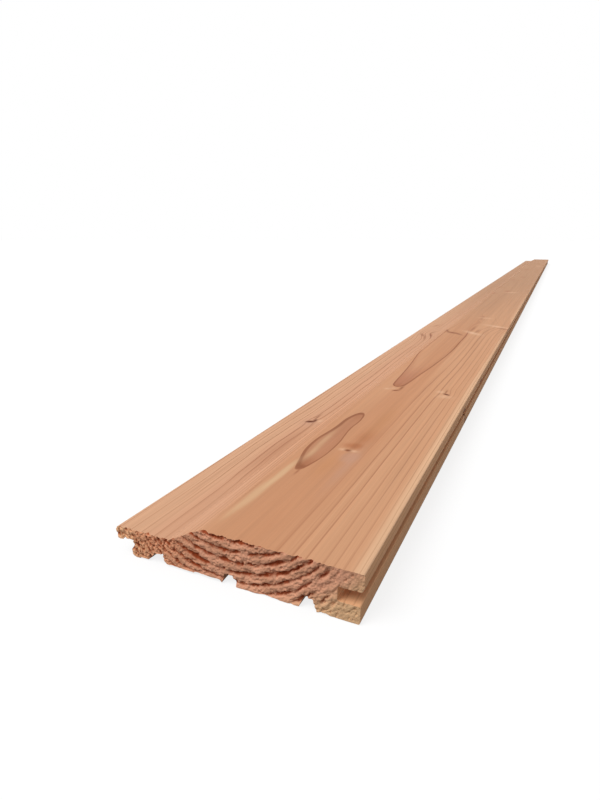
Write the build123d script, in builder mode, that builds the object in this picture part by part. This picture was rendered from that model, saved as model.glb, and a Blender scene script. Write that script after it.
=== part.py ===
from build123d import *
import math
import os

# Tongue and groove drop siding board, planed to one section from a single length of softwood.
# X runs across the board, from the tongue to the groove. Y runs along the grain. Z is up, with the
# planed back on Z = 0 and the weather face on top. All sizes are in millimetres.

# Stock
board_length = 4000.0
board_thickness = 27.0
cover_width = 134.0  # from the shoulder under the tongue to the edge of the lower lip
arris_radius = 1.0  # eased long edges of the face and of the lower lip

# Weather face: a raised flat and a bevel down to the ledge that the next board laps over
face_width = 90.0
bevel_run = 19.5

# Tongue, and the shoulder under it
tongue_length = 10.5
tongue_thickness = 6.4
tongue_height = 10.2  # its underside above the back
tongue_tip_radius = 2.2
shoulder_undercut = 1.5  # how far the shoulder leans in at the root of the tongue
shoulder_nose_height = 4.5  # where the lean starts, above the back
shoulder_radius = 3.0

# Groove that takes a like board's tongue
joint_clearance = 0.7  # play above and below the tongue
tip_clearance = 1.0  # play ahead of the tongue
lip_overhang = 1.5  # how far the upper lip stands out past the lower lip
lip_nose_radius = 2.5  # lead-in under the upper lip
groove_root_radius = 0.8

# Relief channels in the back, which keep a wide board from cupping
relief_count = 3
relief_pitch = 44.5
relief_margin = 26.5  # from the edge of the lower lip to the middle of the first channel
relief_mouth = 9.4
relief_floor = 4.8
relief_depth = 6.0
relief_root_radius = 0.8

# Places worked out from the sizes above, with the board centred on X = 0
overall_width = tongue_length + cover_width + lip_overhang
upper_lip_x = overall_width / 2
lower_lip_x = upper_lip_x - lip_overhang
shoulder_x = lower_lip_x - cover_width
tongue_tip_x = shoulder_x - tongue_length
bevel_top_x = upper_lip_x - face_width
bevel_foot_x = bevel_top_x - bevel_run
ledge_height = tongue_height + tongue_thickness
groove_floor_height = tongue_height - joint_clearance
groove_height = tongue_thickness + 2 * joint_clearance
groove_wall_x = lower_lip_x - tongue_length - tip_clearance
relief_middle_x = lower_lip_x - relief_margin - relief_pitch * (relief_count - 1) / 2
relief_flank_angle = math.degrees(math.atan2(relief_depth, (relief_mouth - relief_floor) / 2))

with BuildPart() as siding_board:
    with BuildSketch(Plane.XZ) as section:
        # Blank between the shoulder and the edge of the upper lip
        with Locations((shoulder_x, 0)):
            Rectangle(upper_lip_x - shoulder_x, board_thickness, align=(Align.MIN, Align.MIN))

        # Tongue, with its tip rounded
        with Locations((tongue_tip_x, tongue_height)):
            Rectangle(tongue_length, tongue_thickness, align=(Align.MIN, Align.MIN))
        fillet(section.vertices().group_by(Axis.X)[0], tongue_tip_radius)

        # Ledge and bevel, planed out of the face in line with the top of the tongue
        with BuildLine():
            Polyline(
                (shoulder_x, ledge_height),
                (bevel_foot_x, ledge_height),
                (bevel_top_x, board_thickness),
                (shoulder_x, board_thickness),
                close=True,
            )
        make_face(mode=Mode.SUBTRACT)

        # Shoulder, leaning in under the tongue and rounded at the back
        with BuildLine():
            Polyline(
                (shoulder_x, shoulder_nose_height),
                (shoulder_x + shoulder_undercut, tongue_height),
                (shoulder_x, tongue_height),
                close=True,
            )
        make_face(mode=Mode.SUBTRACT)
        fillet(section.vertices().group_by(Axis.Y)[0].sort_by(Axis.X)[0], shoulder_radius)

        # Groove, with its lower lip set back from the upper one
        with Locations((groove_wall_x, groove_floor_height)):
            Rectangle(
                upper_lip_x - groove_wall_x,
                groove_height,
                align=(Align.MIN, Align.MIN),
                mode=Mode.SUBTRACT,
            )
        with Locations((lower_lip_x, 0)):
            Rectangle(
                lip_overhang,
                groove_floor_height,
                align=(Align.MIN, Align.MIN),
                mode=Mode.SUBTRACT,
            )
        fillet(
            section.vertices().filter_by_position(Axis.X, groove_wall_x, groove_wall_x),
            groove_root_radius,
        )
        fillet(section.vertices().group_by(Axis.X)[-1].sort_by(Axis.Y)[0], lip_nose_radius)

        # Eased long edges of the lower lip and of the face
        fillet(section.vertices().filter_by_position(Axis.X, lower_lip_x, lower_lip_x), arris_radius)
        fillet(section.vertices().group_by(Axis.Y)[-1], arris_radius)

        # Relief channels
        with Locations((relief_middle_x, 0)):
            with GridLocations(relief_pitch, 0, relief_count, 1):
                Trapezoid(
                    relief_mouth,
                    relief_depth,
                    relief_flank_angle,
                    align=(Align.CENTER, Align.MIN),
                    mode=Mode.SUBTRACT,
                )
        fillet(
            section.vertices().filter_by_position(Axis.Y, relief_depth, relief_depth),
            relief_root_radius,
        )
    extrude(amount=board_length / 2, both=True)

siding_board.part.label = "siding_board"
os.makedirs("parts", exist_ok=True)
export_step(siding_board.part, "parts/siding_board.step")
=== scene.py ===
"""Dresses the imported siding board: planed grain, knots, torn sawn ends, and a plain studio."""
import logging
import math
from dataclasses import dataclass
from enum import Enum
from functools import reduce
from typing import NamedTuple

import bpy
import numpy as np
from mathutils import Matrix, Vector, noise
from mathutils.geometry import delaunay_2d_cdt


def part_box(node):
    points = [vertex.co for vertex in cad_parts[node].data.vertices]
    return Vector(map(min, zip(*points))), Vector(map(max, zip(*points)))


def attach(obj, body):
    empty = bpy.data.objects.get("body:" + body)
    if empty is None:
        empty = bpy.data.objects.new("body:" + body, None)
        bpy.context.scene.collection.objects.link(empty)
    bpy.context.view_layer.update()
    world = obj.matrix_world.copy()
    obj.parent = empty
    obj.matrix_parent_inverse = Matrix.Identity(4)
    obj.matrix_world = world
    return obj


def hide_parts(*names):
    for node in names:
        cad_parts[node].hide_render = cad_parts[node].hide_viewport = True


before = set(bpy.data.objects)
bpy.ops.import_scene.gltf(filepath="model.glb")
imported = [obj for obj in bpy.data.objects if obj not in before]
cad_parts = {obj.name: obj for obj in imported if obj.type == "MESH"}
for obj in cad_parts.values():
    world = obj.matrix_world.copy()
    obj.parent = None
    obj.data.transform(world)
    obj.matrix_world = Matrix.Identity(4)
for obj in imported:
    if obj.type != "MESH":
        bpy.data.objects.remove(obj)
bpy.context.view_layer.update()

LOGGER = logging.getLogger("siding_board")
MM = 0.001
NODE = "siding_board"
BODY = "root"
IMAGE_HEIGHT = 800
BUMP_STRENGTH = 0.5
# Across the board, in millimetres: where a sawn end begins to look ragged, and where it is wholly so.
RAGGED = (-20.0, -46.0)
Socket = bpy.types.NodeSocket


class Tint(Enum):
    """Colours of the wood, as display red, green and blue out of 255."""

    HEARTWOOD = (209, 156, 119)
    WARM_HEARTWOOD = (201, 144, 107)
    PINK_HEARTWOOD = (198, 150, 124)
    ROSY_HEARTWOOD = (217, 167, 136)
    BROWN_HEARTWOOD = (182, 140, 109)
    OCHRE_HEARTWOOD = (196, 138, 96)
    ROSE_FIGURE = (186, 127, 99)
    LATEWOOD = (170, 110, 78)
    RING_LINE = (136, 80, 52)
    SAPWOOD = (223, 179, 142)
    EDGE_SAPWOOD = (235, 177, 130)
    PALE_STREAK = (223, 186, 145)
    HALO = (228, 184, 150)
    RESIN = (176, 110, 72)
    KNOT = (96, 44, 22)
    TORN_RIDGE = (221, 161, 130)
    TORN_GREY = (202, 146, 116)
    TORN_OCHRE = (224, 157, 118)
    # Partly the hollows' own brown, partly painted shade that deepens with the torn depth.
    HOLLOW_BROWN_AND_SHADE = (150, 62, 24)
    TORN_SAPWOOD = (226, 183, 140)

    @property
    def linear(self) -> tuple:
        """The colour as the linear red, green, blue and alpha that a shader takes."""
        shares = [channel / 255 for channel in self.value]
        return (*[s / 12.92 if s <= 0.04045 else ((s + 0.055) / 1.055) ** 2.4 for s in shares], 1.0)


class Finish(Enum):
    """The two surfaces of the board, in the order of its material slots."""

    PLANED = 0
    SAWN = 1


class Chance(Enum):
    """Chance patterns of a torn end: the step from its seed, and the size of the spots along and across."""

    WAVE = (0, 10.0, 8.0)
    HOLD = (7, 6.0, 1 / 3.7)
    BREADTH = (13, 4.0, 1 / 5.1)
    LUMPS = (21, 4.5, 2.4)
    RAG = (31, 2.2, 1.9)
    PITS = (43, 2.3, 1.7)
    CRUMBS = (57, 0.9, 0.9)


class Grain(NamedTuple):
    """Noise drawn out along the board: the size of its spots in millimetres, and its finer layers."""

    across: float
    along: float
    detail: float


class Fade(NamedTuple):
    """A smooth change from a base, up to where it starts, to a height, from where it stops."""

    start: float
    stop: float
    height: float = 1.0
    base: float = 0.0

    def at(self, value: float) -> float:
        """The height at a place."""
        share = min(max((value - self.start) / (self.stop - self.start), 0.0), 1.0)
        return self.base + (self.height - self.base) * share * share * (3 - 2 * share)


@dataclass
class NodeSheet:
    """The nodes of a material or a world, with short ways to add sums and patterns."""

    tree: bpy.types.NodeTree

    @classmethod
    def of(cls, made: bpy.types.ID) -> "NodeSheet":
        """Opens the nodes of a new material or world."""
        made.use_nodes = True
        return cls(made.node_tree)

    def node(self, kind: str, inputs: dict | None = None, **settings: object) -> bpy.types.Node:
        """Adds one node.

        Args:
            kind: The node's type name.
            inputs: Values, tints or sockets for its inputs, by name or number.
            settings: Properties of the node itself.

        Returns:
            The new node.
        """
        made = self.tree.nodes.new(kind)
        for name, value in settings.items():
            setattr(made, name, value)
        for name, value in (inputs or {}).items():
            self.feed(made.inputs[name], value)
        return made

    def feed(self, socket: Socket, value: object) -> None:
        """Links a socket to another, or sets its value.

        Args:
            socket: The socket to feed.
            value: Another socket, a value of the nodes, a tint or a plain number.
        """
        source = value.socket if isinstance(value, Value) else value
        if isinstance(source, Socket):
            self.tree.links.new(source, socket)
        else:
            socket.default_value = value.linear if isinstance(value, Tint) else value

    def value(self, kind: str, inputs: dict, output: object = 0, **settings: object) -> "Value":
        """The number that a new node works out."""
        return Value(self, self.node(kind, inputs, **settings).outputs[output])

    def maths(self, operation: str, *values: object) -> "Value":
        """The result of one sum, named as the Math node has it."""
        return self.value("ShaderNodeMath", dict(enumerate(values)), operation=operation)

    def vector(self, operation: str, first: Socket, second: tuple) -> Socket:
        """The result of one sum of vectors, named as the Vector Math node has it."""
        return self.node("ShaderNodeVectorMath", {0: first, 1: second}, operation=operation).outputs[0]

    def dot(self, vector: Socket, weights: tuple) -> "Value":
        """The weighted sum of a vector's parts."""
        return self.value("ShaderNodeVectorMath", {0: vector, 1: weights}, "Value", operation="DOT_PRODUCT")

    def mix(self, share: object, under: object, over: Tint) -> Socket:
        """One colour laid over another, and how much of it shows."""
        return self.node("ShaderNodeMix", {0: share, 6: under, 7: over}, data_type="RGBA").outputs[2]

    def layers(self, colour: object, *layers: tuple) -> Socket:
        """A colour with others laid over it in turn, each given after how much of it shows."""
        return reduce(lambda under, layer: self.mix(layer[0], under, layer[1]), layers, colour)

    def place(self) -> Socket:
        """The point of the board that is shaded, in millimetres."""
        where = self.node("ShaderNodeTexCoord").outputs["Object"]
        return self.vector("MULTIPLY", where, (1 / MM,) * 3)

    def axes(self, place: Socket) -> "list[Value]":
        """The X, Y and Z of a point."""
        return [Value(self, part) for part in self.node("ShaderNodeSeparateXYZ", {0: place}).outputs]

    def spot(self, across: "Value", along: "Value") -> Socket:
        """A point of a surface, from two of its measures."""
        return self.node("ShaderNodeCombineXYZ", {0: across, 1: along}).outputs[0]

    def grain(self, place: Socket, grain: Grain) -> "Value":
        """Noise about 0.5, read at a point in millimetres."""
        scaled = self.vector("MULTIPLY", place, (1 / grain.across, 1 / grain.along, 1 / grain.across))
        return self.value("ShaderNodeTexNoise", {"Vector": scaled, "Scale": 1.0, "Detail": grain.detail})

    def dress(
        self, colour: Socket, tone: "Value", roughness: object, gloss: float, relief: "Value", depth: float
    ) -> None:
        """Feeds the material's shader.

        Args:
            colour: The surface's colour.
            tone: How light the colour is, about 1.
            roughness: How dull the reflection is.
            gloss: How strong the reflection is.
            relief: The height of the fine relief, from 0 to 1.
            depth: The depth of the fine relief, in millimetres.
        """
        toned = self.node("ShaderNodeHueSaturation", {"Color": colour, "Value": tone}).outputs[0]
        rise = {"Strength": BUMP_STRENGTH, "Distance": depth * MM, "Height": relief}
        bump = self.node("ShaderNodeBump", rise).outputs[0]
        looks = {"Base Color": toned, "Roughness": roughness, "Specular IOR Level": gloss, "Normal": bump}
        for name, value in looks.items():
            self.feed(self.tree.nodes["Principled BSDF"].inputs[name], value)


@dataclass(frozen=True)
class Value:
    """A number that the nodes work out. Sums are written with it as with a plain number."""

    sheet: NodeSheet
    socket: Socket

    def maths(self, operation: str, *others: object) -> "Value":
        """The result of one sum with other values, named as the Math node has it."""
        return self.sheet.maths(operation, self, *others)

    def __add__(self, other: object) -> "Value":
        """This value and another."""
        return self.maths("ADD", other)

    def __sub__(self, other: object) -> "Value":
        """This value less another."""
        return self.maths("SUBTRACT", other)

    def __rsub__(self, other: float) -> "Value":
        """A plain number less this value."""
        return self.sheet.maths("SUBTRACT", other, self)

    def __mul__(self, other: object) -> "Value":
        """This value times another."""
        return self.maths("MULTIPLY", other)

    def __truediv__(self, other: object) -> "Value":
        """This value over another."""
        return self.maths("DIVIDE", other)

    def fade(self, fade: Fade) -> "Value":
        """The height of a fade at this value."""
        limits = dict(zip(("Value", "From Min", "From Max", "To Max", "To Min"), (self, *fade)))
        return self.sheet.value("ShaderNodeMapRange", limits, "Result", interpolation_type="SMOOTHSTEP")

    def remap(self, low: float, high: float) -> "Value":
        """This value, which runs from 0 to 1, stretched to run from low to high."""
        limits = {"Value": self, "To Min": low, "To Max": high}
        return self.sheet.value("ShaderNodeMapRange", limits, "Result")

    def curve(self, points: tuple, low: float, high: float) -> "Value":
        """The height of a smooth curve at this value.

        Args:
            points: Pairs of place, from 0 to 1, and height.
            low: The least height.
            high: The greatest height.

        Returns:
            The curve's height.
        """
        made = self.sheet.node("ShaderNodeFloatCurve", {"Value": self})
        line = made.mapping.curves[0]
        for at, height in points[1:-1]:
            line.points.new(at, (height - low) / (high - low))
        for end, (at, height) in ((0, points[0]), (-1, points[-1])):
            line.points[end].location = (at, (height - low) / (high - low))
        made.mapping.update()
        return Value(self.sheet, made.outputs[0]).remap(low, high)


@dataclass(frozen=True)
class Mark:
    """A round or drawn-out place on the face, in millimetres.

    x and along are its middle, from the middle of the board and from its near end.
    """

    x: float
    along: float
    half_width: float
    half_length: float

    def hill(self, sheet: NodeSheet, spot: Socket, slant: float, crisp: float = 1.0) -> Value:
        """A hill of height 1 on the mark, which fades outside its half sizes.

        Args:
            sheet: The material's nodes.
            spot: The place on the face that it is read at.
            slant: How far the mark leans along the board for each millimetre across.
            crisp: How steep its sides are, from 1 for a soft hill.

        Returns:
            The hill's height.
        """
        offset = sheet.vector("SUBTRACT", spot, (self.x, self.along, 0))
        across = sheet.dot(offset, (1 / self.half_width, 0, 0))
        along = sheet.dot(offset, (-slant / self.half_length, 1 / self.half_length, 0))
        square = across * across + along * along
        if crisp != 1.0:
            square = square.maths("POWER", crisp)
        return sheet.maths("POWER", math.exp(-1), square)


@dataclass(frozen=True)
class Swell(Mark):
    """A place where a branch pushed the growth rings out of line by some height."""

    height: float
    slant: float = 0.0

    def push(self, sheet: NodeSheet, spot: Socket) -> Value:
        """How far it moves the rings at a spot of the face."""
        return self.hill(sheet, spot, self.slant) * self.height


@dataclass(frozen=True)
class Stain(Mark):
    """A spot or streak of another colour."""

    tint: Tint
    strength: float
    slant: float = 0.0
    crisp: float = 1.0

    def lay(self, sheet: NodeSheet, spot: Socket, under: Socket, *masks: Value) -> Socket:
        """Lays the stain over a colour, at a spot and where the masks let it show."""
        share = self.hill(sheet, spot, self.slant, self.crisp) * self.strength
        return sheet.mix(math.prod(masks, start=share), under, self.tint)


@dataclass(frozen=True)
class Rings:
    """What the planed finish reads from the log: the nodes, and a value for each property."""

    sheet: NodeSheet
    place: Socket
    axes: list[Value]
    spot: Socket
    across: Value
    along: Value
    radius: Value
    slope: Value
    phase: Value
    number: Value
    inmost: Value


@dataclass(frozen=True)
class Log:
    """The growth of the log that the board was sawn from, in millimetres.

    The pith lay above the face. It wandered sideways, and the rings rose and fell along the board, which
    draws the leaf and the long point on the face. Both are charted as pairs of place, as a share of the
    charted length, and height.
    """

    pith_x: float = 1.0
    pith_height: float = 85.0
    face_height: float = 27.0
    ring_ends: tuple = (
        54.4, 58.7, 63.8, 67.8, 71.5, 76.9, 80.5, 84.1, 87.1, 89.5,
        91.9, 94.3, 97, 100, 103, 106, 109, 112, 115,
    )
    usual_spacing: float = 4.0
    charted_length: float = 1000.0
    aside: Fade = Fade(13.0, 26.0)
    side_shift: float = 1.6
    drift: Grain = Grain(400.0, 420.0, 1.0)
    drift_growth: Fade = Fade(0.85, 1.4, 9.0)
    wobble: Grain = Grain(40.0, 200.0, 2.0)
    wobble_size: float = 0.7
    ripple: Grain = Grain(7.0, 45.0, 2.0)
    ripple_size: tuple = (0.12, 0.5)
    ripple_left: Fade = Fade(-22.0, -34.0, 0.8)
    level_right: Fade = Fade(25.0, 75.0, 0.5)
    level_left: Fade = Fade(-21.0, -45.0, 0.6)
    wander: tuple = (
        (0.0, -2.0), (0.1, -4.1), (0.15, -4.9), (0.2, -4.3), (0.26, -1.6), (0.318, 0.5), (0.366, 0.8),
        (0.4, 1.0), (0.433, 0.9), (0.467, 0.4), (0.508, -0.6), (0.64, -0.6), (1.0, 0.0),
    )
    wander_limits: tuple = (-8.0, 2.0)
    rise: tuple = (
        (0.0, 0.9), (0.05, 0.9), (0.085, 0.82), (0.0935, 0.71), (0.099, 0.62), (0.106, 0.5), (0.117, 0.26),
        (0.13, 0.08), (0.145, 0.05), (0.16, 0.22), (0.18, 0.38), (0.197, 0.34), (0.207, 0.42), (0.213, 0.51),
        (0.221, 0.69), (0.228, 0.84), (0.245, 1.0), (0.28, 1.1), (0.308, 0.95), (0.316, 0.7), (0.32, 0.52),
        (0.327, 0.34), (0.345, 0.18), (0.367, -0.02), (0.4, -0.4),
        (0.433, -0.95), (0.467, -1.6), (0.505, -2.2), (0.54, -2.4), (0.6, -2.35), (0.65, -2.3), (0.7, -1.5),
        (0.8, -0.4), (1.0, -0.6),
    )
    rise_limits: tuple = (-4.0, 2.0)
    swells: tuple = (
        Swell(-42, 150, 20, 60, -1.8),
        Swell(-38.5, 210, 6, 9, -1.4),
        Swell(15.4, 136, 6, 8, -0.5),
        Swell(53, 309, 7, 12, -1.9),
        Swell(4.5, 301, 5, 6, -0.3),
        Swell(42, 405, 22, 80, -1.3),
        Swell(-45, 712, 15, 42, -8),
        Swell(55, 775, 27, 62, -10, -0.6),
        Swell(24, 872, 14, 26, -1.8),
        Swell(-16, 1370, 12, 40, -1.6),
        Swell(15, 1440, 12, 40, 1.5),
        Swell(-20, 1585, 10, 40, -1.8),
        Swell(0, 1910, 14, 50, 1.6),
        Swell(20, 2070, 14, 50, -1.8),
        Swell(2, 2600, 16, 60, 1.7),
        Swell(44, 3010, 14, 50, -2.2),
        Swell(-28, 3420, 14, 50, -2),
    )

    def rings(self, sheet: NodeSheet, half_length: float) -> Rings:
        """Draws the growth rings as nodes.

        Args:
            sheet: The material's nodes.
            half_length: Half of the board's length, in millimetres.

        Returns:
            What a finish reads.
        """
        place = sheet.place()
        axes = sheet.axes(place)
        along = axes[1] + half_length
        charted = along / self.charted_length
        wander = charted.curve(self.wander, *self.wander_limits)
        rise = charted.curve(self.rise, *self.rise_limits)

        # A branch grows straight out from the pith, so a spot is cast on the face from there.
        below = self.pith_height - axes[2]
        from_pith = axes[0] - self.pith_x
        cast_x = from_pith * (self.pith_height - self.face_height) / below + self.pith_x
        distance = cast_x.maths("ABSOLUTE")
        spot = sheet.spot(cast_x, along)

        # The wander and the rise show in the middle of the face. The rings fall all across the board.
        aside = distance.fade(self.aside)
        centre = 1 - aside
        across = from_pith - wander * centre - aside * self.side_shift
        level = cast_x.fade(self.level_right) + cast_x.fade(self.level_left)
        radius = (across * across + below * below).maths("SQRT")
        radius += rise.maths("MAXIMUM", 0.0) * centre + rise.maths("MINIMUM", 0.0) * (1 - level)

        # The rings wobble by chance, drift beyond the charted length and swell at the branches.
        loose = aside.remap(*self.ripple_size) + cast_x.fade(self.ripple_left)
        radius += (sheet.grain(place, self.ripple) - 0.5) * loose
        radius += (sheet.grain(place, self.wobble) - 0.5) * self.wobble_size
        radius += (sheet.grain(place, self.drift) - 0.5) * charted.fade(self.drift_growth)
        for swell in self.swells:
            radius += swell.push(sheet, spot)

        first, last = self.ring_ends[0], self.ring_ends[-1]
        ends = tuple(
            ((end - first) / (last - first), number) for number, end in enumerate(self.ring_ends, -1)
        )
        count = ((radius - first) / (last - first)).curve(ends, ends[0][1], ends[-1][1])
        slope, phase, number = distance / radius, count.maths("FRACT"), count.maths("FLOOR")
        inmost = number.maths("LESS_THAN", -0.5)
        return Rings(sheet, place, axes, spot, cast_x, along, radius, slope, phase, number, inmost)


@dataclass(frozen=True)
class PlanedFir:
    """The planed long faces: growth rings, fibres, sapwood at the outer rings, knots and streaks.

    Lengths are in millimetres, across from the middle of the board and along from its near end.
    """

    log: Log
    half_length: float
    roughness: tuple = (0.6, 0.78)
    gloss: float = 0.1
    relief: float = 0.12
    fibres: Grain = Grain(0.55, 34.0, 2.0)
    fibre_tone: float = 0.16
    streaks: Grain = Grain(3.2, 240.0, 3.0)
    streak_tone: float = 0.27

    # The wood between the lines, with its sapwood by the distance from the pith.
    patches: Grain = Grain(26.0, 600.0, 2.0)
    warm_patch: Fade = Fade(0.28, 0.62)
    cool_sides: Fade = Fade(8.0, 44.0, -0.25)
    rosy_left: Fade = Fade(-12.0, -34.0, 0.6)
    # Partly painted shade of light falling off along the board, partly a browner tone: the wood darkens
    # towards the far end.
    far_tone_and_shade: Fade = Fade(250.0, 1800.0, 0.88)
    sapwood: Fade = Fade(85.0, 89.5)
    sapwood_right: Fade = Fade(-40.0, 50.0, 1.0, 0.3)
    edge_right: Fade = Fade(56.0, 60.0, 0.8)
    edge_below: Fade = Fade(26.8, 25.8)
    lip: Fade = Fade(69.0, 71.0)

    # The fine lines, which show where the rings stand steep.
    hairs: Grain = Grain(0.5, 170.0, 2.0)
    dark_hair: Fade = Fade(0.54, 0.72, 0.24)
    pale_hair: Fade = Fade(0.46, 0.28, 0.22)
    hair_slope: Fade = Fade(0.16, 0.4)
    hair_rim: Fade = Fade(36.0, 56.0, 0.6, 1.0)
    hair_left: Fade = Fade(-12.0, -20.0, 1.7, 1.0)

    # The late wood and the dark line that end each ring, by its phase from 0 to 1.
    late_wood: Fade = Fade(0.7, 0.97)
    late_share: float = 0.36
    late_inmost: float = -0.06
    ring_edge: Fade = Fade(0.99, 1.0, 0.0, 1.0)
    line: Fade = Fade(1.4, 0.7)
    line_width: float = 0.62
    least_width: float = 0.014
    width_inmost: float = 0.4
    width_bevel: float = 2.4
    bevel_left: Fade = Fade(-38.0, -36.0)
    bevel_right: Fade = Fade(-16.0, -18.0)
    strength: Fade = Fade(40.0, 130.0, 0.42, 0.2)
    strength_inmost: float = 0.12
    strength_rim: Fade = Fade(36.0, 56.0, 0.65, 1.25)
    uneven: tuple = (0.1, 0.9)
    uneven_turn: float = 2.4
    first_right: Fade = Fade(12.0, 22.0)
    first_bold: Fade = Fade(280.0, 430.0, -0.5, 0.6)
    left_side: Fade = Fade(-24.0, -32.0)
    left_near: Fade = Fade(30.0, 110.0, 1.0, 0.6)
    left_strength: tuple = (0.3, 1.45)
    left_fourth: float = 0.65

    # The whorl of branches, past which the rings fade.
    whorl: Fade = Fade(655.0, 695.0, 0.25, 1.0)
    whorl_slant: float = 0.6
    whorl_left: Fade = Fade(-24.0, -36.0, 30.0)
    whorl_right: Fade = Fade(8.0, 36.0, 112.0)

    figure: tuple = (
        Stain(-3.5, 155, 14, 80, Tint.ROSE_FIGURE, 0.48),
        Stain(-3.6, 98, 9, 13, Tint.LATEWOOD, 0.9),
        Stain(-2, 214, 9, 12, Tint.LATEWOOD, 0.5),
        Stain(0, 335, 13, 62, Tint.ROSE_FIGURE, 0.95),
        Stain(0, 320, 9, 11, Tint.LATEWOOD, 0.7),
    )
    stains: tuple = (
        Stain(-9.6, 82, 2.5, 24, Tint.PALE_STREAK, 0.65, crisp=2),
        Stain(-10.8, 50, 3.2, 22, Tint.PALE_STREAK, 0.55, crisp=2),
        Stain(-12, 27, 2, 12, Tint.PALE_STREAK, 0.35, crisp=1.5),
        Stain(-15.6, 52, 0.8, 30, Tint.LATEWOOD, 0.3),
        Stain(-6, 121, 2.2, 14, Tint.PALE_STREAK, 0.45),
        Stain(-7.4, 148, 2.4, 20, Tint.PALE_STREAK, 0.4),
        Stain(-1.8, 88, 0.8, 5, Tint.LATEWOOD, 0.85),
        Stain(24, 140, 14, 230, Tint.WARM_HEARTWOOD, 0.9),
        Stain(-25, 190, 9, 90, Tint.WARM_HEARTWOOD, 0.4),
        Stain(-36.6, 140, 5.2, 58, Tint.LATEWOOD, 0.32, crisp=1.5),
        Stain(-35, 40, 4, 40, Tint.LATEWOOD, 0.14, crisp=1.5),
        Stain(11, 105, 5, 20, Tint.OCHRE_HEARTWOOD, 0.6),
        Stain(-26, 30, 9, 45, Tint.ROSY_HEARTWOOD, 0.35),
        Stain(18, 145.5, 5.2, 6, Tint.RESIN, 0.8, crisp=1.5),
        Stain(12, 145, 4, 4.5, Tint.RESIN, 0.45),
        Stain(19, 164, 6.2, 19, Tint.RESIN, 0.6),
        Stain(19.5, 205, 5.5, 40, Tint.OCHRE_HEARTWOOD, 0.6),
        Stain(24, 108, 3.5, 34, Tint.PINK_HEARTWOOD, 0.6),
        Stain(21, 124, 6.5, 10, Tint.PINK_HEARTWOOD, 0.75, crisp=2),
        Stain(11.2, 135.6, 2.6, 2.2, Tint.HALO, 0.6),
        Stain(19.6, 135.6, 2.8, 2, Tint.HALO, 0.65),
        Stain(15.3, 135.4, 2.3, 1.9, Tint.RING_LINE, 0.95, crisp=1.5),
        Stain(-38.5, 205, 7, 9, Tint.PINK_HEARTWOOD, 0.5),
        Stain(-32.5, 213, 2.8, 3.2, Tint.HALO, 0.6),
        Stain(-39, 208.4, 3.2, 2.8, Tint.KNOT, 1, 0.4, crisp=1.8),
        Stain(-36.6, 213, 1.3, 3.8, Tint.KNOT, 0.85, crisp=1.5),
        Stain(-38, 222, 0.8, 9, Tint.RING_LINE, 0.7),
        Stain(45.5, 315, 3.6, 4.5, Tint.HALO, 0.65),
        Stain(52, 300, 7, 5.5, Tint.HALO, 0.45),
        Stain(52.3, 308.4, 3.2, 2.4, Tint.KNOT, 0.95, -0.5, crisp=1.8),
        Stain(50.6, 317, 1, 8, Tint.RING_LINE, 0.7),
        Stain(7.4, 313, 1.4, 9, Tint.RING_LINE, 0.75),
        Stain(4.4, 302.4, 2.8, 2.4, Tint.RING_LINE, 0.95, 0.8, crisp=1.8),
        Stain(-5.2, 305, 2.8, 2.6, Tint.HALO, 0.6),
        Stain(0.4, 309, 3, 2.4, Tint.HALO, 0.45),
        Stain(-39.7, 665, 2.2, 7, Tint.RING_LINE, 0.6, -5.9),
        Stain(-46.5, 688, 5, 7, Tint.RING_LINE, 0.6, -2.4),
        Stain(-35.5, 691, 3.4, 7, Tint.RING_LINE, 0.6, -3.3),
        Stain(-15.5, 688, 5, 6.5, Tint.RING_LINE, 0.8, -3),
        Stain(-5, 670, 8, 6, Tint.RING_LINE, 0.85, -0.6),
        Stain(6, 662, 7, 5, Tint.RING_LINE, 0.75, -1.2),
        Stain(25, 680, 13, 9, Tint.HALO, 0.9, -0.9),
        Stain(20.5, 722, 2.4, 30, Tint.RING_LINE, 0.55, 3),
        Stain(30, 700, 2.4, 16, Tint.RING_LINE, 0.5, 3),
        Stain(18.5, 850, 2.4, 18, Tint.RING_LINE, 0.4, -3),
        Stain(54, 762, 19, 7.5, Tint.HALO, 0.75, -0.6),
        Stain(66, 741, 8, 5, Tint.RING_LINE, 0.6, -0.6),
        Stain(-46, 796, 4, 9, Tint.LATEWOOD, 0.5, 2),
        Stain(24, 860, 10, 7, Tint.HALO, 0.6),
        Stain(15.5, 876, 3.4, 8, Tint.LATEWOOD, 0.55),
        Stain(4, 1100, 22, 230, Tint.BROWN_HEARTWOOD, 0.5),
        Stain(-15.6, 1368, 7, 18, Tint.LATEWOOD, 0.7),
        Stain(15.2, 1438, 7, 18, Tint.LATEWOOD, 0.7),
        Stain(28, 1405, 14, 14, Tint.HALO, 0.5),
        Stain(-19.6, 1580, 6, 20, Tint.LATEWOOD, 0.65),
        Stain(-2, 1907, 8, 30, Tint.LATEWOOD, 0.35),
        Stain(19, 2066, 8, 30, Tint.LATEWOOD, 0.5),
        Stain(2, 2600, 12, 50, Tint.LATEWOOD, 0.35),
        Stain(44, 3008, 12, 30, Tint.HALO, 0.5),
        Stain(-27, 3420, 4, 10, Tint.KNOT, 0.6),
    )
    edge_knots: tuple = (
        Stain(18.8, 286, 3.4, 8.5, Tint.KNOT, 1, crisp=2),
        Stain(18.8, 402, 3.6, 11, Tint.KNOT, 1, crisp=2),
    )

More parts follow.
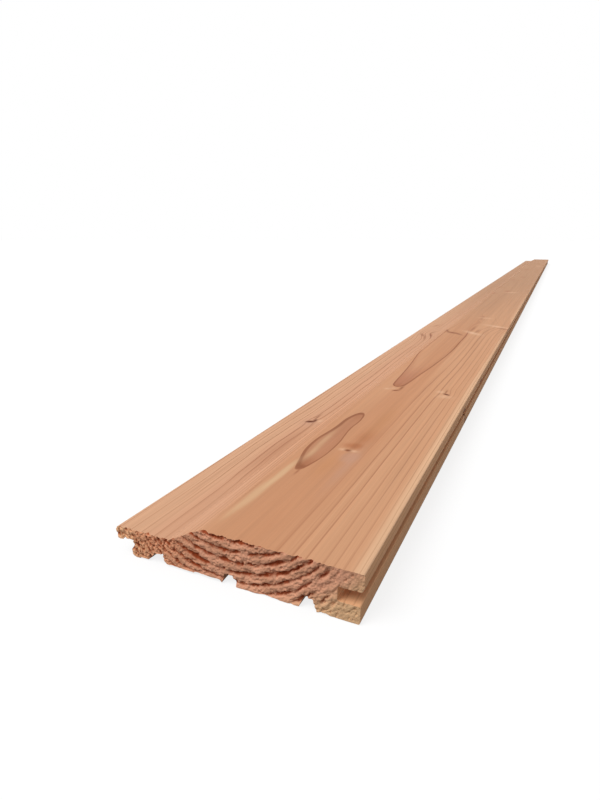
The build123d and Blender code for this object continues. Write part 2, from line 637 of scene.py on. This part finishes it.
    def material(self) -> bpy.types.Material:
        """Builds the finish.

        Returns:
            The new material.
        """
        made = bpy.data.materials.new("planed_fir")
        sheet = NodeSheet.of(made)
        rings = self.log.rings(sheet, self.half_length)
        shown = self.before_whorl(rings)
        colour = self.haired(rings, shown, self.clear_wood(rings))
        colour = self.stained(rings, self.lined(rings, shown, colour))
        fibres = sheet.grain(rings.place, self.fibres)
        tone = (sheet.grain(rings.place, self.streaks) - 0.5) * self.streak_tone + 1.0
        tone += (fibres - 0.5) * self.fibre_tone
        sheet.dress(colour, tone, fibres.remap(*self.roughness), self.gloss, fibres, self.relief)
        return made

    def before_whorl(self, rings: Rings) -> Value:
        """How far the rings show: less past the whorl, which lies askew and further along on the right.

        Args:
            rings: The log's growth rings.

        Returns:
            The share that shows.
        """
        across = rings.across
        further = across.fade(self.whorl_left) + across.fade(self.whorl_right)
        return (across * self.whorl_slant + rings.along - further).fade(self.whorl)

    def clear_wood(self, rings: Rings) -> Socket:
        """The colour between the lines. Only the inmost ring, which draws the leaf and the point, is rose.

        Args:
            rings: The log's growth rings.

        Returns:
            The colour.
        """
        sheet, across = rings.sheet, rings.across
        warm = sheet.grain(rings.place, self.patches) + across.maths("ABSOLUTE").fade(self.cool_sides)
        # Painted shade, in part: darker and browner along the board, as light falls off; the rest is a
        # browner tone. The sapwood fades with it.
        far_tone_and_shade_share = rings.along.fade(self.far_tone_and_shade)
        sapwood = rings.radius.fade(self.sapwood) * across.fade(self.sapwood_right) * (1 - far_tone_and_shade_share)
        edge = rings.axes[0].fade(self.edge_right) * rings.axes[2].fade(self.edge_below)
        colour = sheet.layers(
            Tint.HEARTWOOD,
            (warm.fade(self.warm_patch), Tint.WARM_HEARTWOOD),
            (across.fade(self.rosy_left), Tint.ROSY_HEARTWOOD),
            (far_tone_and_shade_share, Tint.BROWN_HEARTWOOD),
            (sapwood, Tint.SAPWOOD),
            (edge, Tint.EDGE_SAPWOOD),
        )
        for stain in self.figure:
            colour = stain.lay(sheet, rings.spot, colour, rings.inmost)
        return colour

    def haired(self, rings: Rings, shown: Value, colour: Socket) -> Socket:
        """Draws the fine dark and pale lines that follow the rings.

        Args:
            rings: The log's growth rings.
            shown: How far the rings show.
            colour: The colour under the lines.

        Returns:
            The new colour.
        """
        sheet, across = rings.sheet, rings.across
        hairs = sheet.grain(sheet.spot(rings.radius, rings.along), self.hairs)
        hairy = shown * rings.slope.fade(self.hair_slope)
        hairy *= across.fade(self.hair_rim) * across.fade(self.hair_left)
        dark, pale = hairs.fade(self.dark_hair) * hairy, hairs.fade(self.pale_hair) * hairy
        return sheet.layers(colour, (dark, Tint.LATEWOOD), (pale, Tint.HALO))

    def lined(self, rings: Rings, shown: Value, colour: Socket) -> Socket:
        """Draws the late wood and the dark line that end each ring.

        Args:
            rings: The log's growth rings.
            shown: How far the rings show.
            colour: The colour under the lines.

        Returns:
            The new colour.
        """
        phase, inmost, x = rings.phase, rings.inmost, rings.axes[0]
        weight = self.line_weight(rings) * shown * phase.fade(self.ring_edge)
        late = phase.fade(self.late_wood) * weight * (inmost * self.late_inmost + self.late_share)

        # The bevel cuts the rings more squarely than the face does, so its lines need more width.
        bevel = x.fade(self.bevel_left) * x.fade(self.bevel_right)
        width = rings.slope * (self.line_width / self.log.usual_spacing) + self.least_width
        width *= (inmost * self.width_inmost + 1.0) * bevel.remap(1.0, self.width_bevel)
        strength = inmost * self.strength_inmost + rings.along.fade(self.strength)
        line = ((1 - phase) / width).fade(self.line) * weight * strength
        return rings.sheet.layers(colour, (late, Tint.LATEWOOD), (line, Tint.RING_LINE))

    def line_weight(self, rings: Rings) -> Value:
        """How strong each ring's line is.

        On the right the first ring's line is bold near the end and fails further along. Towards the tongue
        every second line fails, the fourth ring's less so, the others are darker, and all fade near the end.

        Args:
            rings: The log's growth rings.

        Returns:
            The strength, about 1.
        """
        across, along, number = rings.across, rings.along, rings.number
        swing, usual = self.uneven
        uneven = ((number + 1.0) * self.uneven_turn).maths("COSINE") * swing + usual
        first = number.maths("COMPARE", 0.0, 0.5) * across.fade(self.first_right)
        bold = first * along.fade(self.first_bold) + 1.0
        fourth = number.maths("COMPARE", 4.0, 0.5) * self.left_fourth
        kept = number.maths("PINGPONG", 1.0).maths("MAXIMUM", fourth).remap(*self.left_strength)
        left = across.fade(self.left_side) * (kept * along.fade(self.left_near) - 1.0) + 1.0
        return uneven * left * across.fade(self.strength_rim) * bold

    def stained(self, rings: Rings, colour: Socket) -> Socket:
        """Lays the knots and streaks over the wood.

        Args:
            rings: The log's growth rings.
            colour: The clear wood's colour.

        Returns:
            The stained colour.
        """
        sheet = rings.sheet
        for stain in self.stains:
            colour = stain.lay(sheet, rings.spot, colour)
        edge = sheet.spot(rings.axes[2], rings.along)
        on_lip = rings.axes[0].fade(self.lip)
        for knot in self.edge_knots:
            colour = knot.lay(sheet, edge, colour, on_lip)
        return colour


@dataclass(frozen=True)
class TornEndGrain:
    """The sawn ends: pale torn ridges, hollows between them in the wood's own brown with painted shade that
    deepens with depth, and paler sapwood.

    torn, hollow and sapwood are the names of the values that the board's mesh carries.
    """

    torn: str = "torn_depth"
    hollow: str = "ring_hollow"
    sapwood: str = "sapwood"
    roughness: float = 0.85
    gloss: float = 0.1
    relief: float = 0.25
    speckle: Grain = Grain(0.7, 0.7, 2.0)
    speckle_depth: float = 0.5
    speckle_tone: tuple = (0.86, 1.14)
    patches: Grain = Grain(7.0, 7.0, 2.0)
    grey_patch: Fade = Fade(0.42, 0.62)
    ochre_left: Fade = Fade(-14.0, -54.0, 0.85)
    pale_tongue: Fade = Fade(-57.0, -65.0, 0.4)
    pores: Grain = Grain(0.8, 0.8, 1.0)
    pore: Fade = Fade(0.56, 0.66, 0.5)
    # Painted shade, in part: the hollow tint grows with the torn depth.
    brown_and_shade: Fade = Fade(0.22, 0.96, 0.94)
    hollow_brown_and_shade: float = 0.35
    tongue_brown_and_shade: Fade = Fade(10.0, -36.0, 0.14)
    groove_brown_and_shade: Fade = Fade(20.0, 45.0, -0.13)
    light_left: Fade = Fade(-14.0, -34.0, 0.08)
    light_tongue: Fade = Fade(-57.0, -65.0, 0.12)
    # Painted light: the middle of the end's lower edge is lightened, where little light reaches it.
    low_painted_light: Fade = Fade(8.0, 2.0, 0.08)
    low_painted_light_from: Fade = Fade(-10.0, 8.0)
    low_painted_light_to: Fade = Fade(52.0, 44.0)

    def material(self) -> bpy.types.Material:
        """Builds the finish.

        Returns:
            The new material.
        """
        made = bpy.data.materials.new("torn_end_grain")
        sheet = NodeSheet.of(made)
        place = sheet.place()
        x, _, z = sheet.axes(place)
        torn, hollow, sapwood = [
            sheet.value("ShaderNodeAttribute", {}, "Fac", attribute_name=name)
            for name in (self.torn, self.hollow, self.sapwood)
        ]
        speckle = sheet.grain(place, self.speckle)
        pores = sheet.grain(place, self.pores).fade(self.pore) * sapwood
        # The hollow tint follows this depth: partly the torn wood's own brown, partly painted shade in the
        # hollows.
        depth = torn + (speckle - 0.5) * self.speckle_depth + hollow * self.hollow_brown_and_shade
        # The hollows are browner, with more painted shade, towards the tongue than towards the groove.
        depth += x.fade(self.tongue_brown_and_shade) + x.fade(self.groove_brown_and_shade)
        colour = sheet.layers(
            Tint.TORN_RIDGE,
            (sheet.grain(place, self.patches).fade(self.grey_patch), Tint.TORN_GREY),
            (x.fade(self.ochre_left), Tint.TORN_OCHRE),
            (x.fade(self.pale_tongue), Tint.TORN_SAPWOOD),
            (sapwood, Tint.TORN_SAPWOOD),
            (pores, Tint.LATEWOOD),
            (depth.fade(self.brown_and_shade), Tint.HOLLOW_BROWN_AND_SHADE),
        )
        # The fibres are a little paler towards the tongue; painted light lifts the middle of the lower edge.
        tone = speckle.remap(*self.speckle_tone) + x.fade(self.light_left) + x.fade(self.light_tongue)
        tone += x.fade(self.low_painted_light_from) * x.fade(self.low_painted_light_to) * z.fade(self.low_painted_light)
        sheet.dress(colour, tone, self.roughness, self.gloss, speckle, self.relief)
        return made


@dataclass(frozen=True)
class Breakout:
    """A bit broken off, or left hanging, at the edge of a sawn end, in millimetres.

    It moves the points between two places across the board, most at one height and less over a fade
    above and below that, and it runs out along the board.
    """

    x_from: float
    x_to: float
    height: float
    fade: float
    lift: float
    slide: float = 0.0
    ease: float = 1.0
    length: float = 7.0

    def shift(self, x: float, z: float, inward: float) -> tuple[float, float]:
        """How far a point moves across the board and up.

        Args:
            x: The point's place across the board.
            z: Its height.
            inward: Its distance from the end.

        Returns:
            The move across and the move up.
        """
        if inward >= self.length:
            return 0.0, 0.0
        weight = Fade(self.x_from, self.x_from + self.ease).at(x)
        weight *= Fade(self.x_to, self.x_to - self.ease).at(x)
        weight *= max(0.0, 1 - abs(z - self.height) / self.fade) * (1 - inward / self.length)
        return self.slide * weight, self.lift * weight


@dataclass(frozen=True)
class SawnEnd:
    """One torn end of the board. Everything is cut inwards from the end of the planed length.

    The saw tore out the soft part of each ring, which left hollows between beaded ridges. The hollows lie
    wider apart in the middle of the board than at its sides. plane is the end's place along the board, and
    inward is 1 or -1, the way from there to the board's middle. Lengths are in millimetres.
    """

    log: Log
    plane: float
    inward: int
    seed: float
    breakouts: tuple
    wave_size: float = 0.6
    rag_size: Fade = Fade(*RAGGED, 0.55, 0.2)
    hollow_radius: float = 65.3
    hollow_spacing: float = 5.7
    side_narrowing: float = 2.95
    hollow_share: float = 0.2
    share_change: float = 0.6
    hold_limits: tuple = (0.1, 1.25)
    usual_hold: float = 0.75
    hollow_depth: Fade = Fade(*RAGGED, 0.56, 1.4)
    bead_depth: Fade = Fade(50.0, 64.0, 0.44, 1.0)
    bead_along: float = 2.6
    bead_across: float = 1.5
    bead_size: Fade = Fade(*RAGGED, 0.255, 0.85)
    lump_size: float = 0.55
    crumb_size: Fade = Fade(*RAGGED, 0.64, 0.34)
    pit_depth: Fade = Fade(*RAGGED, 1.4, 0.56)
    pits: Fade = Fade(0.25, 0.65)
    more_pits: Fade = Fade(*RAGGED, 0.2)
    crumbled_depth: float = 1.8
    crumbled_usual: float = 0.25
    crumbled_crumbs: float = 0.5
    crumbled_up: Fade = Fade(23.0, 26.5)
    crumbled_from: Fade = Fade(-18.0, -12.0)
    crumbled_to: Fade = Fade(20.0, 12.0)
    soft: Fade = Fade(50.0, 64.0, 0.2, 1.0)
    tongue: Fade = Fade(-58.0, -66.0, 0.7, 1.0)
    back: Fade = Fade(0.0, 1.6, 1.0, 0.3)
    deepest: float = 2.4
    sapwood: Fade = Fade(86.0, 101.0)
    sapwood_left: float = 0.35
    point_spacing: float = 0.38
    row_share: float = 0.866
    scatter: float = 0.22
    margin_share: float = 0.6
    merged_within: float = 1e-5

    def chance(self, pattern: Chance, along: float, across: float) -> float:
        """Reads a chance pattern at a place along and across the rings."""
        step, size_along, size_across = pattern.value
        return noise.noise(Vector((along / size_along, across / size_across, self.seed + step)))

    def ring_at(self, x: float, z: float) -> tuple[float, float, float]:
        """The growth rings at a point of the end.

        Args:
            x: The point's place across the board.
            z: Its height.

        Returns:
            Its distance from the pith, its place along the ring, and how hollow the ring is there.
        """
        across, below = x - self.log.pith_x, self.log.pith_height - z
        radius, angle = math.hypot(across, below), math.atan2(across, below)
        arc = radius * angle
        wave = self.wave_size * self.chance(Chance.WAVE, arc, radius)
        spacing = self.hollow_spacing - self.side_narrowing * angle * angle
        count = (radius + wave - self.hollow_radius) / spacing
        count += self.chance(Chance.RAG, arc, radius) * self.rag_size.at(x)
        nearest = math.floor(count + 0.5)
        hold = self.usual_hold + self.chance(Chance.HOLD, arc, nearest)
        share = self.hollow_share * (1 + self.share_change * self.chance(Chance.BREADTH, arc, nearest))
        hollow = math.exp(-(((count - nearest) / share) ** 2))
        least, most = self.hold_limits
        return radius, arc, hollow * min(max(hold, least), most)

    def sapwood_at(self, x: float, radius: float) -> float:
        """How far a point is into the sapwood, which is palest on the groove side."""
        return self.sapwood.at(radius) * (self.sapwood_left if x < 0 else 1.0)

    def depth(self, x: float, z: float) -> float:
        """How deep the saw tore the fibres, which are torn to crumbs towards the tongue.

        Args:
            x: The point's place across the board.
            z: Its height.

        Returns:
            The depth.
        """
        radius, arc, hollow = self.ring_at(x, z)
        nearest = noise.voronoi(Vector((arc / self.bead_along, radius / self.bead_across, self.seed)))[0][0]
        lumps = self.chance(Chance.LUMPS, arc, radius)
        crumbs = self.chance(Chance.CRUMBS, x, z)
        pits = self.chance(Chance.PITS, arc, radius) + self.more_pits.at(x)
        beads = self.bead_size.at(x) * nearest * nearest
        beads += self.lump_size * lumps + self.crumb_size.at(x) * crumbs
        torn = self.hollow_depth.at(x) * hollow * self.soft.at(x)
        torn += self.bead_depth.at(x) * beads * self.tongue.at(x)
        torn += self.pit_depth.at(x) * self.pits.at(pits)
        # The middle of the face's edge is torn more.
        crumbled = self.crumbled_up.at(z) * self.crumbled_from.at(x) * self.crumbled_to.at(x)
        crumbled *= max(0.0, self.crumbled_usual + lumps + self.crumbled_crumbs * crumbs)
        torn += self.crumbled_depth * crumbled
        # The back's edge is crisp, so little is torn from it.
        return min(max(torn * self.back.at(z), 0.0), self.deepest)

    def point(self, x: float, z: float, distance: float) -> tuple[float, float, float]:
        """Where a point of the section lies near this end, once the saw has torn it and bits have broken off.

        Args:
            x: The point's place across the board.
            z: Its height.
            distance: Its distance from the end.

        Returns:
            The moved point.
        """
        moves = [breakout.shift(x, z, distance) for breakout in self.breakouts]
        cut = self.depth(x, z) if distance == 0 else 0.0
        across, up = (sum(move[axis] for move in moves) for axis in (0, 1))
        return x + across, self.plane + self.inward * (distance + cut), z + up

    def triangles(self, outline: np.ndarray) -> tuple[np.ndarray, np.ndarray]:
        """Fills the outline with small triangles.

        Args:
            outline: The section's points.

        Returns:
            The inner points, and the corners of each triangle. Corners count the outline's points first.
        """
        rng = np.random.default_rng(int(self.seed))
        low, high = outline.min(0), outline.max(0)
        step = self.point_spacing
        rows = np.arange(low[1], high[1], step * self.row_share)
        across, up = np.meshgrid(np.arange(low[0], high[0], step), rows)
        across[1::2] += step / 2
        inner = np.stack([across.ravel(), up.ravel()], 1)
        inner += rng.uniform(-self.scatter, self.scatter, inner.shape) * step
        inner = inner[self.inside(outline, inner, step * self.margin_share)]
        points = [Vector(point) for point in np.concatenate([outline, inner])]
        made = delaunay_2d_cdt(points, [], [list(range(len(outline)))], 1, self.merged_within)
        origin = np.array([first[0] for first in made[3]])
        return inner, origin[np.array(made[2])]

    @staticmethod
    def inside(outline: np.ndarray, points: np.ndarray, margin: float) -> np.ndarray:
        """Which points lie inside an outline and clear of it.

        Args:
            outline: The outline's points.
            points: The points to test.
            margin: The least distance from the outline's points.

        Returns:
            True for each point that does.
        """
        within = np.zeros(len(points), bool)
        clear = np.full(len(points), np.inf)
        for start, end in zip(outline, np.roll(outline, -1, 0)):
            crosses = (start[1] > points[:, 1]) != (end[1] > points[:, 1])
            if start[1] != end[1]:
                share = (points[:, 1] - start[1]) / (end[1] - start[1])
                within ^= crosses & (points[:, 0] < start[0] + share * (end[0] - start[0]))
            clear = np.minimum(clear, np.hypot(*(points - start).T))
        return within & (clear > margin)


@dataclass
class SidingBoard:
    """The board itself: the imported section, drawn out between two torn ends. Lengths are in millimetres."""

    node: bpy.types.Object
    log: Log
    end_within: float = 0.01
    outline_step: float = 0.6
    crease: float = math.radians(25)
    near_seed: float = 3.0
    near_breaks: tuple = (
        Breakout(-41, -20.6, 0, 4.5, 1.2, ease=1.5),
        Breakout(-21.6, -4, 0, 4.5, 1.6, ease=0.8),
        Breakout(-57, -45, 0, 6, 0.7, slide=-2.6, length=45),
        Breakout(-4.7, -2.4, 0, 4.5, 0, slide=0.6, ease=0.3),
        Breakout(18, 30, 0, 3, 0.5, ease=3),
        Breakout(50, 57, 0, 3, 0.5, ease=2),
        Breakout(-73.5, -67.5, 10.2, 3, -1.2, ease=1.2),
    )
    far_seed: float = 11.0
    far_breaks: tuple = (
        Breakout(6, 26, 0, 4, 1, ease=4),
        Breakout(52, 66, 0, 4, 0.8, ease=3),
    )
    inset_rings: tuple = (3.0, 5.0, 8.0, 14.0, 30.0, 80.0, 200.0)
    ring_gap: float = 400.0

    def outline(self) -> np.ndarray:
        """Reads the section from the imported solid.

        Returns:
            The closed outline of the near end, anticlockwise as seen from before that end.
        """
        mesh = self.node.data
        points = np.empty(len(mesh.vertices) * 3)
        mesh.vertices.foreach_get("co", points)
        points = np.round(points.reshape(-1, 3) / MM, 4)
        near = points[:, 1].min()
        runs = set()
        for polygon in mesh.polygons:
            corners = [points[index] for index in polygon.vertices]
            if any(corner[1] > near + self.end_within for corner in corners):
                continue
            spots = [(corner[0], corner[2]) for corner in corners]
            for start, end in zip(spots, spots[1:] + spots[:1]):
                if (end, start) in runs:
                    runs.remove((end, start))
                else:
                    runs.add((start, end))
        after = dict(runs)
        loop = [min(after)]
        while after[loop[-1]] != loop[0]:
            loop.append(after[loop[-1]])
        return np.array(loop)

    def divided(self, outline: np.ndarray) -> tuple[np.ndarray, np.ndarray]:
        """Divides the outline's long runs.

        Args:
            outline: The section's corner points.

        Returns:
            The points of the divided outline, and which of them are sharp corners.
        """
        ahead = np.roll(outline, -1, 0) - outline
        heading = np.arctan2(ahead[:, 1], ahead[:, 0])
        turn = (heading - np.roll(heading, 1) + math.pi) % (2 * math.pi) - math.pi
        points, sharp = [], []
        for start, run, bend in zip(outline, ahead, turn):
            count = max(1, math.ceil(math.hypot(*run) / self.outline_step))
            points += [start + run * share / count for share in range(count)]
            sharp += [abs(bend) > self.crease] + [False] * (count - 1)
        return np.array(points), np.array(sharp)

    def stations(self, length: float) -> np.ndarray:
        """Where the section repeats along the board, from its near end to its far end.

        Args:
            length: The board's length.

        Returns:
            The distances from the near end.
        """
        inset = np.array(self.inset_rings)
        middle = np.arange(inset[-1] + self.ring_gap, length - inset[-1], self.ring_gap)
        return np.concatenate([[0.0], inset, middle, length - inset[::-1], [length]])

    def build(self) -> bpy.types.Object:
        """Makes the board's mesh and dresses it.

        Returns:
            The finished piece.
        """
        low, high = [np.array(corner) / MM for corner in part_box(NODE)]
        length = high[1] - low[1]
        outline, sharp = self.divided(self.outline())
        near_end = SawnEnd(self.log, low[1], 1, self.near_seed, self.near_breaks)
        far_end = SawnEnd(self.log, high[1], -1, self.far_seed, self.far_breaks)
        stations = self.stations(length)
        verts = []
        for station in stations:
            end = near_end if station < length / 2 else far_end
            verts += [end.point(x, z, min(station, length - station)) for x, z in outline]
        walls = self.walls(len(outline), len(stations))
        faces = [tuple(wall) for wall in walls]
        torn = {}
        for end, first in ((near_end, 0), (far_end, len(verts) - len(outline))):
            self.cap(end, outline, first, verts, faces, torn)
        mesh = bpy.data.meshes.new("planed_board")
        mesh.from_pydata(np.array(verts) * MM, [], faces)
        mesh.update()
        mesh.materials.append(PlanedFir(self.log, length / 2).material())
        mesh.materials.append(TornEndGrain().material())
        sawn = np.arange(len(faces)) >= len(walls)
        slots = np.where(sawn, Finish.SAWN.value, Finish.PLANED.value).astype(np.int32)
        mesh.polygons.foreach_set("material_index", slots)
        self.crease_edges(mesh, sharp, len(outline), len(stations))
        self.note_ends(mesh, verts, torn)
        piece = bpy.data.objects.new("planed_board", mesh)
        bpy.context.scene.collection.objects.link(piece)
        return piece

    @staticmethod
    def walls(around: int, rings: int) -> np.ndarray:
        """The four-sided faces between the rings.

        Args:
            around: How many points a ring has.
            rings: How many rings there are.

        Returns:
            The corners of each face.
        """
        here = np.arange(around)
        after = np.roll(here, -1)
        strip = np.stack([here, here + around, after + around, after], 1)
        return np.concatenate([strip + ring * around for ring in range(rings - 1)])

    @staticmethod
    def cap(end: SawnEnd, outline: np.ndarray, first: int, verts: list, faces: list, torn: dict) -> None:
        """Closes one end with torn fibres.

        Args:
            end: The sawn end.
            outline: The divided section.
            first: The number of the first point of the ring that it closes.
            verts: The board's points, to which the inner points are added.
            faces: The board's faces, to which the triangles are added.
            torn: The end and the place in the section of each point of the ends, by number, added to.
        """
        inner, corners = end.triangles(outline)
        start = len(verts)
        for number, spots in ((first, outline), (start, inner)):
            torn.update({number + index: (end, x, z) for index, (x, z) in enumerate(spots)})
        verts += [end.point(x, z, 0.0) for x, z in inner]
        numbers = np.where(corners < len(outline), corners + first, corners - len(outline) + start)
        faces += [tuple(face[::end.inward]) for face in numbers]

    @staticmethod
    def crease_edges(mesh: bpy.types.Mesh, sharp: np.ndarray, around: int, rings: int) -> None:
        """Shades the board smooth, with creases along its corners and round its ends.

        Args:
            mesh: The board's mesh.
            sharp: Which points of a ring are sharp corners.
            around: How many points a ring has.
            rings: How many rings there are.
        """
        pairs = np.empty(len(mesh.edges) * 2, np.int32)
        mesh.edges.foreach_get("vertices", pairs)
        pairs = pairs.reshape(-1, 2)
        walls = (pairs < around * rings).all(1)
        ring = pairs // around
        rim = walls & (ring[:, 0] == ring[:, 1]) & np.isin(ring[:, 0], (0, rings - 1))
        lengthwise = walls & (ring[:, 0] != ring[:, 1]) & sharp[pairs[:, 0] % around]
        mesh.shade_smooth()
        creases = mesh.attributes.new("sharp_edge", "BOOLEAN", "EDGE")
        creases.data.foreach_set("value", rim | lengthwise)

    @staticmethod
    def note_ends(mesh: bpy.types.Mesh, verts: list, torn: dict) -> None:
        """Writes what the end grain's finish reads: depth, hollows and sapwood.

        Args:
            mesh: The board's mesh.
            verts: The board's points.
            torn: The end and the place in the section of each point of the ends, by number.
        """
        grain = TornEndGrain()
        names = (grain.torn, grain.hollow, grain.sapwood)
        values = {name: np.zeros(len(verts), np.float32) for name in names}
        for number, (end, x, z) in torn.items():
            radius, _, hollow = end.ring_at(x, z)
            values[grain.torn][number] = (verts[number][1] - end.plane) * end.inward / end.deepest
            values[grain.hollow][number] = hollow * end.soft.at(x)
            values[grain.sapwood][number] = end.sapwood_at(x, radius)
        for name, numbers in values.items():
            mesh.attributes.new(name, "FLOAT", "POINT").data.foreach_set("value", numbers)


@dataclass
class Studio:
    """A plain white floor under soft light, and the camera. Sizes are in metres and degrees."""

    floor_size: float = 60.0
    floor_drop: float = 0.0003
    floor_shade: float = 0.2
    floor_glow: float = 0.82
    sky: float = 0.45
    key: float = 0.55
    key_from: tuple = (-0.35, -0.45, 0.82)
    key_softness: float = 40.0
    camera_x: float = 0.13372
    camera_back: float = 0.19883
    camera_height: float = 0.17092
    camera_turn: float = 24.98
    camera_dip: float = 16.82
    focal_pixels: float = 536.4
    nearest_seen: float = 0.01

    @staticmethod
    def seen(sheet: NodeSheet) -> Value:
        """1 for a ray from the camera, or one that a glossy or clear surface sends on, and 0 otherwise."""
        path = sheet.node("ShaderNodeLightPath").outputs
        straight = sheet.maths("MAXIMUM", path["Is Camera Ray"], path["Is Glossy Ray"])
        return straight.maths("MAXIMUM", path["Is Transmission Ray"])

    def build_floor(self) -> bpy.types.Object:
        """Makes the floor, which looks white and keeps a soft shadow.

        Returns:
            The floor.
        """
        mesh = bpy.data.meshes.new("studio_floor")
        half = self.floor_size / 2
        corners = [(-half, -half, 0), (half, -half, 0), (half, half, 0), (-half, half, 0)]
        mesh.from_pydata(corners, [], [(0, 1, 2, 3)])
        floor = bpy.data.objects.new("studio_floor", mesh)
        floor.location.z = -self.floor_drop
        bpy.context.scene.collection.objects.link(floor)
        made = bpy.data.materials.new("studio_white")
        sheet = NodeSheet.of(made)
        sheet.tree.nodes.remove(sheet.tree.nodes["Principled BSDF"])
        shade = (self.floor_shade,) * 3 + (1.0,)
        matt = sheet.node("ShaderNodeBsdfDiffuse", {"Color": shade}).outputs[0]
        strength = self.seen(sheet) * self.floor_glow
        glow = sheet.node("ShaderNodeEmission", {"Strength": strength}).outputs[0]
        both = sheet.node("ShaderNodeAddShader", {0: matt, 1: glow}).outputs[0]
        sheet.feed(sheet.tree.nodes["Material Output"].inputs["Surface"], both)
        mesh.materials.append(made)
        return floor

    def build_lights(self) -> None:
        """Sets the even light of the room, and one wide soft lamp from above the tongue side."""
        world = bpy.data.worlds.new("studio_room")
        sheet = NodeSheet.of(world)
        sky = sheet.tree.nodes["Background"]
        sky.inputs["Color"].default_value = (1.0, 1.0, 1.0, 1.0)
        sheet.feed(sky.inputs["Strength"], self.seen(sheet).remap(self.sky, 1.0))
        bpy.context.scene.world = world
        toward = Vector(self.key_from).normalized()
        lamp = bpy.data.lights.new("soft_key", "SUN")
        lamp.energy = self.key * math.pi / toward.z
        lamp.angle = math.radians(self.key_softness)
        key = bpy.data.objects.new("soft_key", lamp)
        key.rotation_mode = "QUATERNION"
        key.rotation_quaternion = toward.to_track_quat("Z", "Y")
        bpy.context.scene.collection.objects.link(key)

    def build_camera(self, near_end: float) -> None:
        """Sets the camera at the photograph's place.

        Args:
            near_end: The board's near end along Y.
        """
        lens = bpy.data.cameras.new("camera")
        lens.lens = self.focal_pixels / IMAGE_HEIGHT * lens.sensor_width
        lens.clip_start = self.nearest_seen
        camera = bpy.data.objects.new("camera", lens)
        turn = Matrix.Rotation(math.radians(self.camera_turn), 4, "Z")
        dip = Matrix.Rotation(math.radians(90 - self.camera_dip), 4, "X")
        place = Matrix.Translation((self.camera_x, near_end - self.camera_back, self.camera_height))
        camera.matrix_world = place @ turn @ dip
        bpy.context.scene.collection.objects.link(camera)
        bpy.context.scene.camera = camera


def main() -> None:
    """Builds the board and the studio in order."""
    logging.basicConfig(level=logging.INFO, format="%(message)s")
    bpy.context.scene.view_settings.view_transform = "Standard"
    board = SidingBoard(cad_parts[NODE], Log()).build()
    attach(board, BODY)
    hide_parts(NODE)
    LOGGER.info("%s: %d faces", board.name, len(board.data.polygons))
    studio = Studio()
    studio.build_floor()
    studio.build_lights()
    studio.build_camera(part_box(NODE)[0].y)
    LOGGER.info("studio: floor, lamp and camera")


if __name__ == "__main__":
    main()
